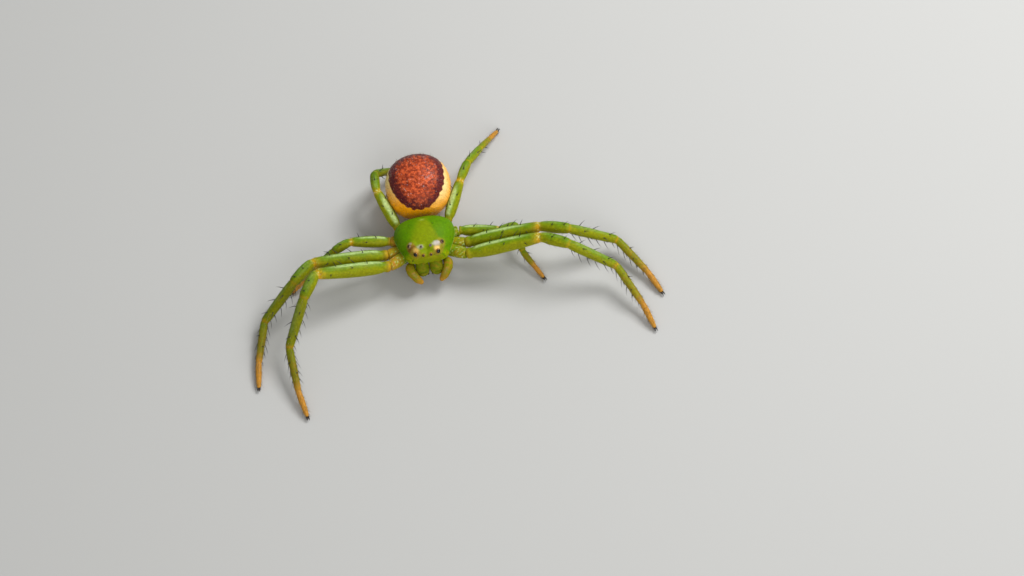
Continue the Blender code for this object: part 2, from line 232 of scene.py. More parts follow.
class Shape:
    """A mesh gathered from parts: points, faces, colours and a map of the surface."""

    def __init__(self):
        self.points, self.faces, self.colours, self.maps = [], [], [], []
        self.count = 0

    def add(self, points, faces, colours, maps):
        """Add a part whose faces count from its own first point."""
        points = np.asarray(points, float)
        self.points.append(points)
        self.faces += [tuple(int(i) + self.count for i in f) for f in faces]
        self.colours.append(np.broadcast_to(np.asarray(colours, float), (len(points), 3)))
        self.maps.append(np.broadcast_to(np.asarray(maps, float), (len(points), 2)))
        self.count += len(points)

    def build(self, name, material, body="root"):
        """Make the object, riding on the body."""
        mesh = bpy.data.meshes.new(name)
        places = (np.concatenate(self.points) + SHIFT) * MM
        mesh.from_pydata(places.tolist(), [], self.faces)
        mesh.update()
        colours = np.concatenate(self.colours)
        layer = mesh.color_attributes.new("tint", "FLOAT_COLOR", "POINT")
        layer.data.foreach_set("color", np.c_[colours, np.ones(len(colours))].ravel())
        corners = np.zeros(len(mesh.loops), int)
        mesh.loops.foreach_get("vertex_index", corners)
        unwrap = mesh.uv_layers.new(name="OFBake")
        unwrap.data.foreach_set("uv", np.concatenate(self.maps)[corners].ravel())
        mesh.polygons.foreach_set("use_smooth", [True] * len(mesh.polygons))
        item = bpy.data.objects.new(name, mesh)
        item.data.materials.append(material)
        bpy.context.scene.collection.objects.link(item)
        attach(item, body)
        return item


def tube_faces(rows, cols):
    """Faces of a closed tube of rings, with flat ends."""
    faces = []
    for r in range(rows - 1):
        for c in range(cols):
            n = (c + 1) % cols
            faces.append((r * cols + c, r * cols + n, (r + 1) * cols + n, (r + 1) * cols + c))
    faces.append(tuple(reversed(range(cols))))
    faces.append(tuple(range((rows - 1) * cols, rows * cols)))
    return faces


def sweep(path, radii, sides):
    """Rings of a round tube along a path, each starting on top: points and outward directions."""
    path = np.asarray(path, float)
    ahead = np.empty_like(path)
    ahead[1:-1] = path[2:] - path[:-2]
    ahead[0] = path[1] - path[0]
    ahead[-1] = path[-1] - path[-2]
    ahead = unit(ahead)
    up = np.array((0, 0, 1.0)) - ahead * ahead[:, 2:3]
    steep = np.linalg.norm(up, axis=1) < 0.25
    up[steep] = (np.array((0, 1.0, 0)) - ahead * ahead[:, 1:2])[steep]
    up = unit(up)
    side = np.cross(ahead, up)
    angle = 2 * np.pi * np.arange(sides) / sides
    out = up[:, None] * np.cos(angle)[None, :, None] - side[:, None] * np.sin(angle)[None, :, None]
    points = path[:, None] + out * np.asarray(radii)[:, None, None]
    return points.reshape(-1, 3), out.reshape(-1, 3)


def smooth_path(joints, corner, step):
    """A polyline with rounded corners as points and their place: segment number + part along it."""
    joints = np.asarray(joints, float)
    points, places = [], []
    last = len(joints) - 2
    for i in range(last + 1):
        a, b = joints[i], joints[i + 1]
        length = np.linalg.norm(b - a)
        cut = min(corner, 0.3 * length) / length
        start = cut if i else 0.0
        end = 1 - cut if i < last else 1.0
        n = max(3, int(length * (end - start) / step))
        for t in np.linspace(start, end, n):
            points.append(a + (b - a) * t)
            places.append(i + t)
        if i < last:
            c = joints[i + 2]
            ahead = min(corner, 0.3 * np.linalg.norm(c - b)) / np.linalg.norm(c - b)
            p0, p2 = a + (b - a) * end, b + (c - b) * ahead
            for t in np.linspace(0, 1, 12)[1:-1]:
                points.append((1 - t) ** 2 * p0 + 2 * t * (1 - t) * b + t * t * p2)
                places.append(i + end + (1 + ahead - end) * t)
    return np.array(points), np.array(places)


def body_point(p):
    """From the front half's own frame into the measured frame."""
    p = np.asarray(p, float)
    c, s = math.cos(BODY_PITCH), math.sin(BODY_PITCH)
    x, y, z = p[..., 0], p[..., 1], p[..., 2]
    return np.stack((x, y * c + z * s, z * c - y * s + BODY_HEIGHT), -1)


def body_way(p):
    """A direction from the front half's own frame."""
    return unit(body_point(p) - body_point((0, 0, 0)))


def abdomen_point(p):
    """From the rear half's own frame into the measured frame."""
    p = np.asarray(p, float)
    c, s = math.cos(ABDOMEN_PITCH), math.sin(ABDOMEN_PITCH)
    x, y, z = p[..., 0], p[..., 1], p[..., 2]
    cx, cy, cz = ABDOMEN_CENTRE
    return np.stack((cx + x, cy + y * c + z * s, cz + z * c - y * s), -1)


def stations(profile, steps):
    """Fill in a profile table with smooth stations."""
    rows = []
    last = len(profile) - 1
    for i in range(last):
        a, b = profile[max(i - 1, 0)], profile[i]
        c, d = profile[i + 1], profile[min(i + 2, last)]
        a, b, c, d = (np.array(v) for v in (a, b, c, d))
        for k in range(steps):
            t = k / steps
            square = 2 * a - 5 * b + 4 * c - d
            cube = 3 * b - a - 3 * c + d
            rows.append((2 * b + (c - a) * t + square * t ** 2 + cube * t ** 3) / 2)
    rows.append(np.array(profile[last]))
    return np.array(rows)


def abdomen_rows():
    """Stations of the rear half: y, half width, top and underside."""
    place = -np.cos(np.pi * np.linspace(0.035, 0.965, ABDOMEN_RINGS))
    size = (1 - np.abs(place) ** ABDOMEN_BLUNTNESS) ** (1 / ABDOMEN_BLUNTNESS)
    y = place * np.where(place > 0, ABDOMEN_REAR, ABDOMEN_FRONT)
    return np.stack((y, ABDOMEN_HALF_WIDTH * size, ABDOMEN_TOP * size, ABDOMEN_BELLY * size), -1)


def oval_grid(rows, power, sides):
    """Points of a body given by its stations, as rows x sides x 3 in its own frame."""
    angle = 2 * np.pi * np.arange(sides) / sides
    c, s = np.cos(angle), np.sin(angle)
    cx = np.sign(c) * np.abs(c) ** (2 / power)
    sz = np.sign(s) * np.abs(s) ** (2 / power)
    x = rows[:, 1:2] * cx[None]
    reach = np.where(s[None] > 0, rows[:, 2:3], rows[:, 3:4])
    z = reach * sz[None]
    y = np.repeat(rows[:, 0:1], sides, 1)
    return np.stack((x, y, z), -1)


def grid_normals(grid):
    """Outward normals of a closed grid of rings."""
    along = np.gradient(grid, axis=0)
    around = (np.roll(grid, -1, 1) - np.roll(grid, 1, 1)) / 2
    return unit(np.cross(around, along)) * -1


def grid_map(rows, cols, corner, size):
    """A plain unwrap of a grid of rings into a square of the map."""
    v, u = np.meshgrid(np.linspace(0, 1, rows), np.arange(cols) / cols, indexing="ij")
    return np.stack((corner[0] + u * size[0], corner[1] + v * size[1]), -1).reshape(-1, 2)


def nodes_of(name):
    """A new node material and its main shader."""
    material = bpy.data.materials.new(name)
    material.use_nodes = True
    return material, material.node_tree, material.node_tree.nodes["Principled BSDF"]


def set_values(shader, **values):
    """Set plain values on a shader's sockets; underscores stand for blanks."""
    for key, value in values.items():
        shader.inputs[key.replace("_", " ")].default_value = value


def skin_material(name, speckle, speckle_size, bump, bump_size, **values):
    """A skin whose painted tint is broken up by fine noise, with a pebbled bump."""
    material, tree, shader = nodes_of(name)
    nodes, links = tree.nodes, tree.links
    place = nodes.new("ShaderNodeTexCoord")
    tint = nodes.new("ShaderNodeAttribute")
    tint.attribute_name = "tint"
    cloud = nodes.new("ShaderNodeTexNoise")
    cloud.inputs["Scale"].default_value = 1 / (speckle_size * MM)
    cloud.inputs["Detail"].default_value = 4
    links.new(place.outputs["Object"], cloud.inputs["Vector"])
    spread = nodes.new("ShaderNodeMapRange")
    spread.inputs["From Min"].default_value = 0.3
    spread.inputs["From Max"].default_value = 0.7
    spread.inputs["To Min"].default_value = 1 - speckle
    spread.inputs["To Max"].default_value = 1 + speckle
    links.new(cloud.outputs["Fac"], spread.inputs["Value"])
    scale = nodes.new("ShaderNodeVectorMath")
    scale.operation = "SCALE"
    links.new(tint.outputs["Color"], scale.inputs[0])
    links.new(spread.outputs["Result"], scale.inputs["Scale"])
    links.new(scale.outputs["Vector"], shader.inputs["Base Color"])
    cells = nodes.new("ShaderNodeTexVoronoi")
    cells.feature = "SMOOTH_F1"
    cells.inputs["Scale"].default_value = 1 / (bump_size * MM)
    links.new(place.outputs["Object"], cells.inputs["Vector"])
    relief = nodes.new("ShaderNodeBump")
    relief.inputs["Strength"].default_value = bump
    relief.inputs["Distance"].default_value = bump_size * MM * 0.3
    relief.invert = True
    links.new(cells.outputs["Distance"], relief.inputs["Height"])
    links.new(relief.outputs["Normal"], shader.inputs["Normal"])
    set_values(shader, **values)
    return material


def flesh(roughness, gloss, depth=0.12, weight=0.25):
    """Shader values of a skin that light enters a little way, by a depth in millimetres."""
    return {
        "Roughness": roughness,
        "Specular_IOR_Level": gloss,
        "Subsurface_Weight": weight,
        "Subsurface_Radius": (depth * MM, depth * MM, depth * 0.4 * MM),
        "Subsurface_Scale": 1.0,
    }


def heading_way(side, heading, climb):
    """Direction for a heading toward the front and a climb above level."""
    h, c = math.radians(heading), math.radians(climb)
    return np.array((side * math.cos(h) * math.cos(c), -math.sin(h) * math.cos(c), math.sin(c)))


def leg_joints(leg, side):
    """Joint places of one leg from its hip to its foot."""
    headings, climbs = STANCE[(leg, side)]
    lengths = LEG_LENGTHS[leg]
    x, y, z = HIPS[leg]
    joints = [body_point((side * x, y, z))]
    for i in range(3):
        joints.append(joints[-1] + lengths[i] * heading_way(side, headings[i], climbs[i]))
    climb = math.degrees(math.asin((FOOT_HEIGHT - joints[-1][2]) / (lengths[3] + lengths[4])))
    joints.append(joints[-1] + lengths[3] * heading_way(side, headings[3], climb))
    joints.append(joints[-1] + lengths[4] * heading_way(side, headings[3] + TARSUS_TURN[leg], climb))
    return np.array(joints)


def leg_label(leg, side):
    """Name of a leg's CAD node."""
    return f"leg_{leg}_{'left' if side > 0 else 'right'}"


def leg_index(leg, side):
    """A number from 0 to 7 for each leg."""
    return (leg - 1) * 2 + (side < 0)


def leg_surface(leg, side):
    """Path of one leg, the places of its points along the leg, and the radii there."""
    path, places = smooth_path(leg_joints(leg, side), CORNER, RING_STEP)
    table = np.array(LEG_RADII)
    radii = np.interp(places, table[:, 0], table[:, 1])
    if leg > 2:
        radii = radii * HIND_LEG_SCALE
    return path, places, radii


def leg_colours(points, out, places, leg, side):
    """Tint of a leg: green above, olive below, yellow joints, a pale line, orange brown toward the foot."""
    cloud = noise_at(points, 0.3, leg + side)
    fine = noise_at(points, 0.06, leg + 3 * side)
    upper = ease(0.0, 1.1, out @ np.array(UPPER_WAY) + 0.4 * cloud)
    colours = mix(OLIVE_LEG, GREEN_LEG, upper)
    colours = colours * (1 + 0.2 * fine)[:, None]
    blotch = noise_at(points, 0.1, 8.0 + leg)
    for k, width, strength in ((1, 0.075, 1.0), (2, 0.035, 0.3), (3, 0.05, 0.6), (4, 0.05, 0.3)):
        near = np.exp(-((places - k + 0.012 + 0.03 * blotch) / width) ** 2) * (1 - 0.45 * upper)
        colours = mix(colours, YELLOW_JOINT, strength * near * (1 + 0.6 * fine))
        seam = np.exp(-((places - k) / 0.008) ** 2)
        colours = mix(colours, YELLOW_JOINT, 0.7 * seam * (k < 4))
        glint = ease(0.2, 0.4, noise_at(points, 0.05, 27.0 + leg)) * (k == 1)
        colours = mix(colours, PALE_LINE, 0.7 * glint * np.exp(-((places - k) / 0.06) ** 2))
    hip = np.exp(-(places / 0.055) ** 2)
    speck = noise_at(points, 0.08, 5.0 + leg)
    colours = mix(colours, mix(YELLOW_JOINT, BROWN_HIP, 0.5 + 0.9 * speck), (0.35 + 0.4 * (side < 0)) * hip)
    angle = np.arccos(np.clip(out @ unit(LINE_WAY), -1, 1)).reshape(-1, LEG_SIDES)
    angle = (angle - angle.min(1, keepdims=True)).ravel()
    part = places % 1
    line = np.exp(-((angle + 0.08 * cloud) / 0.12) ** 2) * ease(0.08, 0.16, part) * ease(0.92, 0.6, part)
    weight = np.where(places < 1, 0.7, np.where(places < 3, 0.12, 0.0))
    colours = mix(colours, PALE_LINE, weight * line * (0.8 + 0.4 * fine))
    colours = mix(colours, SHANK_BROWN, 0.55 * ease(2.9, 3.5, places))
    speckle = ease(0.1, 0.5, noise_at(points, 0.07, 18.0 + leg)) * ease(2.9, 3.5, places)
    colours = mix(colours, BROWN_HIP, 0.5 * speckle)
    # Painted shade: the spider's right legs, on the image's left, are darkened by a quarter from the patella
    # toward the foot
    colours = colours * (1 - 0.25 * (side < 0) * ease(1.0, 2.0, places))[:, None]
    tip = ease(3.65, 4.12, places + 0.12 * cloud)
    return mix(colours, ORANGE_TIP, 0.95 * tip)


def add_leg(shape, leg, side):
    """One leg's skin and the coxa it grows from."""
    path, places, radii = leg_surface(leg, side)
    points, out = sweep(path, radii, LEG_SIDES)
    where = np.repeat(places, LEG_SIDES)
    index = leg_index(leg, side)
    corner = (0.02 + 0.12 * index, 0.02)
    maps = grid_map(len(path), LEG_SIDES, corner, (0.1, 0.4))
    shape.add(points, tube_faces(len(path), LEG_SIDES), leg_colours(points, out, where, leg, side), maps)
    x, y, z = HIPS[leg]
    hip = body_point((side * x, y, z))
    inner = body_point((side * x * COXA_INNER, y * COXA_INNER, z - 0.1))
    ahead = unit(hip - inner)
    reach = np.linalg.norm(hip - inner)
    t = np.linspace(0, 1, 22)
    route = inner + (reach - 0.02) * t[:, None] * ahead
    size = COXA_RADIUS * np.interp(t, (0, 0.3, 0.7, 0.9, 1), (0.8, 1.0, 1.0, 0.9, 0.8))
    points, out = sweep(route, size, LEG_SIDES)
    speck = noise_at(points, 0.08, 3.0 + index)
    patch = noise_at(points, 0.2, 9.0 + index)
    colours = mix(OLIVE_LEG, GREEN_LEG, 0.5 + patch)
    colours = colours * (1 + 0.5 * noise_at(points, 0.05, 19.0 + index))[:, None]
    brown = ease(0.25, 0.85, np.repeat(t, LEG_SIDES)) * (0.15 + 0.5 * (side < 0))
    colours = mix(colours, mix(YELLOW_JOINT, BROWN_HIP, 0.5 + 0.9 * speck), brown + 0.7 * speck)
    colours = mix(colours, PALE_LINE, 0.5 * ease(0.3, 0.5, noise_at(points, 0.06, 25.0 + index)))
    maps = grid_map(len(route), LEG_SIDES, (0.02 + 0.12 * index, 0.44), (0.1, 0.05))
    shape.add(points, tube_faces(len(route), LEG_SIDES), colours, maps)


def carapace_colours(grid):
    """Tint of the front half by its own frame: olive middle, green sides, pale margin, mottled face."""
    x, y, z = grid[..., 0].ravel(), grid[..., 1].ravel(), grid[..., 2].ravel()
    places = grid.reshape(-1, 3)
    half = 0.22 + 0.36 * ease(0.45, -0.75, y)
    soft = np.where(x > 0, 0.1, 0.24)
    edge = np.abs(x) + 0.06 * noise_at(places, 0.2, 12)
    middle = ease(0, 1, (half + soft - edge) / (2 * soft)) * ease(0.62, 0.2, y)
    colours = mix(GREEN_SIDE, GREEN_MIDDLE, 0.85 * middle + 0.08 + 0.12 * noise_at(places, 0.35, 1))
    colours = colours * (1 + 0.16 * noise_at(places, 0.05, 6))[:, None]
    face = ease(-0.9, -1.1, y) * ease(0.42, 0.25, z)
    mottle = noise_at(places, 0.09, 14)
    colours = mix(colours, mix(FACE_GREEN, FACE_OLIVE, 0.4 + 0.9 * mottle), 0.8 * face)
    colours = colours * (1 + 0.35 * noise_at(places, 0.06, 24) * face)[:, None]
    rim = np.exp(-(z / 0.03) ** 2) * ease(0.75, 0.3, y) * ease(-1.02, -0.75, y)
    colours = mix(colours, PALE_RIM, 0.8 * rim)
    under = ease(-0.02, -0.12, z)
    speck = noise_at(places, 0.08, 4)
    below = mix(OLIVE_LEG, BROWN_HIP, 0.25 + 0.6 * speck)
    colours = mix(colours, below, 0.9 * under * ease(-1.2, -0.95, y))
    spot = np.exp(-((x / 0.09) ** 2 + ((y - 0.36) / 0.05) ** 2)) * (z > 0)
    return mix(colours, PALE_RIM, 0.5 * spot)


def eye_base_colours(flat, colours):
    """Olive cups under the side eyes, a glow above each front one, and pale domes, part painted highlight,
    beside the rear ones.
    """
    fine = noise_at(flat, 0.05, 15)
    for side in (1, -1):
        place = {name: np.array(row[0]) * (side, 1, 1) for name, row in EYES.items()}
        front, back = place["eye_anterior_lateral"], place["eye_posterior_lateral"]
        run = back - front
        t = np.clip((flat - front) @ run / (run @ run), 0, 1)
        near = np.linalg.norm(flat - front - t[:, None] * run, axis=1)
        cup = ease(0.27, 0.15, near + 0.03 * fine)
        shade = mix(EYE_OLIVE, BROWN_HIP, 0.2 + 0.35 * (side < 0) + 0.6 * fine)
        colours = mix(colours, shade, 0.65 * cup)
        if side < 0:
            colours = mix(colours, EYE_RED, 0.75 * cup * np.exp(-((t - 0.72) / 0.2) ** 2))
        above = front + 0.15 * unit((-0.15 * side, 0.72, 0.6))
        near = np.linalg.norm(flat - above, axis=1)
        glow = mix(EYE_YELLOW, BROWN_HIP, 0.35 * (side < 0))
        colours = mix(colours, glow, (0.95 if side > 0 else 0.7) * ease(0.17, 0.06, near))
        # Pale lilac domes and spots beside the rear side eyes: partly pale skin and partly painted highlight,
        # painted stronger on the eyes at the image's right
        inner = place["eye_posterior_median"]
        dome = inner + (0.52 if side > 0 else 0.08) * (back - inner)
        near = np.linalg.norm((flat - dome) * (1.0, 1.2, 1.2), axis=1)
        wide = 0.22 if side > 0 else 0.17
        tone = mix(LILAC, EYE_OLIVE, ease(0.02, -0.16, flat[:, 1] - dome[1]) * 0.8)
        colours = mix(colours, tone, (0.9 if side > 0 else 0.45) * ease(wide, 0.08, near + 0.05 * fine))
        beside = back + np.array((0.11, -0.12, -0.03) if side > 0 else (0.05, 0.1, 0.0))
        near = np.linalg.norm(flat - beside, axis=1)
        colours = mix(colours, LILAC, (0.85 if side > 0 else 0.45) * ease(0.11, 0.05, near + 0.03 * fine))
        near = np.linalg.norm(flat - place["eye_anterior_median"], axis=1)
        colours = mix(colours, BROWN_HIP, 0.5 * ease(0.13, 0.07, near))
    return colours


def add_carapace(shape):
    """The shield, with the raised bases of the eyes and the rim along its sides."""
    rows = stations(CARAPACE_PROFILE, CARAPACE_STEPS)
    grid = oval_grid(rows, CARAPACE_POWER, CARAPACE_SIDES)
    colours = carapace_colours(grid)
    normals = grid_normals(grid)
    z = grid[..., 2]
    groove = -0.035 * np.exp(-((z + 0.07) / 0.04) ** 2) + 0.012 * np.exp(-(z / 0.03) ** 2)
    groove = groove * ease(-1.1, -0.8, grid[..., 1])
    grid = grid + normals * groove[..., None]
    flat = grid.reshape(-1, 3)
    for place, way, _, wide, high in EYES.values():
        for side in (1, -1):
            centre = np.array((side * place[0], place[1], place[2]))
            ahead = unit(np.array((side * way[0], way[1], way[2])))
            root = centre - ahead * high
            offset = flat - root
            along = offset @ ahead
            across = np.linalg.norm(offset - along[:, None] * ahead, axis=1)
            lift = np.exp(-(across / wide) ** 3.2) * (np.abs(along) < 0.35)
            target = root + (offset - along[:, None] * ahead) * 0.96 + ahead * (high * 0.9)
            raised = (target - flat) @ ahead > 0
            flat = flat + (target - flat) * (raised * lift)[:, None]
    colours = eye_base_colours(flat, colours)
    maps = grid_map(grid.shape[0], grid.shape[1], (0.02, 0.52), (0.45, 0.45))
    shape.add(body_point(flat), tube_faces(grid.shape[0], grid.shape[1]), colours, maps)


def add_limb(shape, joints, radii, colours, corner, corner_round=0.12, sides=24, step=0.03):
    """A short limb such as a palp or a jaw, rounded at its tip."""
    path, places = smooth_path(joints, corner_round, step)
    size = np.interp(places, np.arange(len(radii)), radii)
    near_end = np.clip(np.linalg.norm(path - path[-1], axis=1) / radii[-1], 0, 1)
    size = size * np.sqrt(np.clip(1 - (1 - near_end) ** 2 * TIP_ROUNDNESS, 0.02, 1))
    points, out = sweep(path, size, sides)
    where = np.repeat(places, sides)
    maps = grid_map(len(path), sides, corner, (0.05, 0.1))
    shape.add(points, tube_faces(len(path), sides), colours(points, out, where), maps)


def mirrored(points, side):
    """Points of the left side, or their mirror images."""
    return np.array([(side * x, y, z) for x, y, z in points])


def palp_colours(points, out, where):
    """Yellow green with brown specks and an orange brown end."""
    base = mix(OLIVE_LEG, GREEN_MIDDLE, 0.5 + 0.6 * noise_at(points, 0.12, 2))
    base = mix(base * 0.8, BROWN_HIP, 0.3 + 0.8 * noise_at(points, 0.07, 12))
    # Painted highlight: a pale lilac streak along the top of the palp's middle segments
    angle = np.arccos(np.clip(out @ unit((0.0, -0.2, 0.98)), -1, 1))
    line = np.exp(-(angle / 0.3) ** 2) * ease(1.9, 2.2, where) * ease(3.3, 2.9, where)
    base = mix(base, LILAC, 0.7 * line)
    base = mix(base, ORANGE_TIP, 0.8 * ease(2.6, 3.6, where))
    return mix(base, PALP_TIP, ease(3.85, 4.0, where))


def jaw_colours(points, out, where):
    """Mottled green with a dark warm tip."""
    base = mix(JAW_GREEN, OLIVE_LEG, 0.35 + 0.9 * noise_at(points, 0.12, 6)) * 0.85
    base = mix(base, BROWN_HIP, 0.15 + 0.45 * noise_at(points, 0.07, 16))
    inner = ease(-0.45, 0.35, -np.sign(points[:, 0]) * out[:, 0]) * ease(2.0, 2.6, where)
    return mix(base, JAW_TIP, np.maximum(0.8 * ease(2.5, 2.95, where), 0.9 * inner))


def folium_field(grid):
    """How far inside the dark mark each point of the abdomen lies, from the frame of the abdomen."""
    places = grid.reshape(-1, 3)
    d = unit(places / np.array(MARK_OVAL))
    tilt = np.degrees(np.arccos(np.clip(d[:, 2], -1, 1)))
    turn = np.arctan2(d[:, 0], d[:, 1])
    edge = 57.5 + 5 * np.cos(turn) + 3 * np.cos(2 * turn) - 3 * np.cos(3 * turn)
    edge = edge + 14 * ease(75, 35, np.degrees(np.abs(turn)))
    scallops = 0.018 * np.cos(24 * turn) + 0.03 * noise_at(places, 0.14, 5) + 0.02 * noise_at(places, 0.05, 8)
    return 1 - tilt / edge + scallops


def abdomen_colours(grid, field):
    """Cream and orange skin with the red brown mark and its darker border."""
    places = grid.reshape(-1, 3)
    y, z = places[:, 1], places[:, 2]
    side = places[:, 0] / ABDOMEN_HALF_WIDTH
    # The side term paints light and shade: paler cream on the flank at the image's right, deeper orange on
    # the flank at the left
    cream = mix(ORANGE, CREAM, ease(-1.1, 0.3, y + 0.3 * z + 0.45 * side + 0.15 * noise_at(places, 0.3, 2)))
    cream = cream * (1 + 0.07 * noise_at(places, 0.05, 9))[:, None]
    cream = mix(cream, ORANGE, 0.7 * ease(0.35, -0.2, z - 0.5 * side))
    cream = mix(cream, GREEN_MIDDLE, 0.5 * ease(-0.5, -0.9, z))
    mottle = noise_at(places, 0.11, 7)
    grain = noise_at(places, 0.045, 11)
    inside = mix(RUST, MAROON, 0.25 + 0.6 * mottle + 0.5 * grain)
    bright = grain - 0.7 * mottle - 0.3 * noise_at(places, 0.35, 35)
    inside = mix(inside, EMBER, ease(-0.05, 0.4, bright) * 0.9)
    inside = inside * (0.85 + 0.35 * ease(0.15, 0.6, field))[:, None]
    reach = np.hypot(places[:, 0], y).clip(0.01)
    flank = np.abs(places[:, 0]) / reach
    # The extra border width on the flank at the image's left (side < 0) is painted shade
    depth = 0.07 + 0.15 * flank + 0.06 * flank * (side < 0) + 0.12 * ease(0.3, 1.0, y / reach)
    border = ease(depth + 0.16, depth, field + 0.16 * noise_at(places, 0.13, 13) + 0.05 * grain)
    inside = mix(inside, mix(PLUM, RUST, 0.12 + 0.7 * grain), 0.92 * border)
    # Painted highlights: small pale lilac glints flecked over the mark
    painted_glint = ease(0.42, 0.55, noise_at(places, 0.04, 31)) * ease(0.1, 0.3, noise_at(places, 0.3, 33))
    inside = mix(inside, LILAC, 0.55 * painted_glint)
    return mix(cream, inside, ease(-0.01, 0.01, field))


def add_abdomen(shape):
    """The round rear half with its grainy mark, and the spinnerets."""
    rows = abdomen_rows()
    grid = oval_grid(rows, ABDOMEN_POWER, ABDOMEN_SIDES)
    field = folium_field(grid)
    colours = abdomen_colours(grid, field)
    normals = grid_normals(grid)
    places = grid.reshape(-1, 3)
    grains = noise_at(places, 0.075, 21).reshape(grid.shape[:2])
    inside = ease(0.0, 0.05, field).reshape(grid.shape[:2])
    folds = 0.006 * np.sin(places[:, 1] * 26 + 3 * noise_at(places, 0.5, 3)).reshape(grid.shape[:2])
    lift = 0.012 * grains * inside + folds * (1 - inside)
    grid = grid + normals * lift[..., None]
    maps = grid_map(grid.shape[0], grid.shape[1], (0.02, 0.02), (0.9, 0.7))
    shape.add(abdomen_point(grid.reshape(-1, 3)), tube_faces(grid.shape[0], grid.shape[1]), colours, maps)
    for k, (x, z, length, radius) in enumerate(SPINNERETS):
        for side in (1, -1):
            start = abdomen_point((side * x, SPINNERET_ROOT, z))
            way = unit((side * 0.15, 0.9, -0.15))
            joints = (start - way * 0.2, start + way * length * 0.5, start + way * length)
            tone = mix(YELLOW_JOINT, ORANGE_TIP, 0.5)
            corner = (0.02 + 0.06 * (2 * k + (side < 0)), 0.8)
            add_limb(shape, joints, (radius, radius, radius * 0.6), lambda p, o, w: tone, corner, 0.03, 16)


def add_cone(shape, root, way, bend, length, radius, colour, spot, sides=5, rings=4):
    """A tapered, slightly bent bristle rooted at a point of the skin."""
    way = unit(way)
    t = np.linspace(0, 1, rings)
    path = root + length * (t[:, None] * way + 0.35 * (t ** 2)[:, None] * bend)
    sizes = radius * (1 - t) ** 0.7
    sizes[-1] = radius * 0.06
    path[:, 2] = np.maximum(path[:, 2], sizes + 0.002)
    points, _ = sweep(path, sizes, sides)
    around = 0.0012 * np.stack((np.cos(np.arange(sides)), np.sin(np.arange(sides))), -1)
    maps = np.asarray(spot) + np.tile(around, (rings, 1))
    shape.add(points, tube_faces(rings, sides), colour, maps)


def leg_spot(leg, side, place, turn):
    """Place of a leg's point on the skin's unwrap, turned as a part of a full turn."""
    return (0.02 + 0.12 * leg_index(leg, side) + 0.1 * (turn % 1), 0.02 + 0.4 * place / 5)


# Bristles: place along the leg, turn from the top in degrees toward the front, length
FRONT_BRISTLES = (
    (0.32, 20, 0.3), (0.45, 60, 0.32), (0.52, -15, 0.3), (0.62, 70, 0.34), (0.74, 30, 0.3), (0.8, -50, 0.28),
    (1.45, 0, 0.3), (1.85, 10, 0.32),
    (2.1, 145, 0.42), (2.1, -145, 0.4), (2.26, 148, 0.46), (2.26, -146, 0.44),
    (2.42, 145, 0.48), (2.42, -145, 0.45), (2.58, 148, 0.48), (2.6, -146, 0.44),
    (2.75, 145, 0.44), (2.77, -145, 0.4), (2.93, 150, 0.38), (2.93, -150, 0.36),
    (2.22, 55, 0.3), (2.5, 60, 0.3), (2.72, -55, 0.28), (2.3, -20, 0.25), (2.8, 15, 0.26),
    (3.08, 142, 0.44), (3.08, -142, 0.42), (3.27, 144, 0.46), (3.27, -144, 0.42),
    (3.46, 142, 0.44), (3.46, -142, 0.4), (3.66, 144, 0.38), (3.66, -144, 0.36),
    (3.88, 150, 0.3), (3.88, -150, 0.3), (3.35, 40, 0.22), (3.6, -35, 0.2),
)
# A row of short spines low along the far half of a front leg
EDGE_BRISTLES = tuple((2.15 + 0.105 * k, 104 if k % 3 else -104, 0.1) for k in range(17))
HIND_BRISTLES = (
    (0.35, 15, 0.24), (0.6, -30, 0.22), (0.75, 45, 0.22), (1.5, 0, 0.24), (2.2, 20, 0.26), (2.4, 120, 0.26),
    (2.6, -40, 0.24), (2.7, 130, 0.24), (2.9, -120, 0.22), (3.2, 60, 0.2), (3.3, -130, 0.22), (3.6, 130, 0.2),
)
FINE_HAIRS = {1: 420, 2: 420, 3: 180, 4: 200}
TUFT_HAIRS = 90
BODY_HAIRS = 70
REAR_HAIRS = 520
BRISTLE_RADIUS = 0.019
SOCKET_RADIUS = 0.042
HAIR_RADIUS = 0.0055
TUFT_RADIUS = 0.009
BODY_RADIUS = 0.009
REAR_RADIUS = 0.006
STRAIGHT = np.zeros(3)


def leg_point(path, places, radii, place, turn):
    """Skin point, outward and distal directions at a place and a turn from the top."""
    centre = np.array([np.interp(place, places, path[:, k]) for k in range(3)])
    further = np.array([np.interp(place + 0.02, places, path[:, k]) for k in range(3)])
    ahead = unit(further - centre)
    up = unit(np.array((0, 0, 1.0)) - ahead * ahead[2])
    front = np.cross(ahead, up)
    out = up * math.cos(turn) + front * math.sin(turn)
    return centre + out * np.interp(place, places, radii), out, ahead


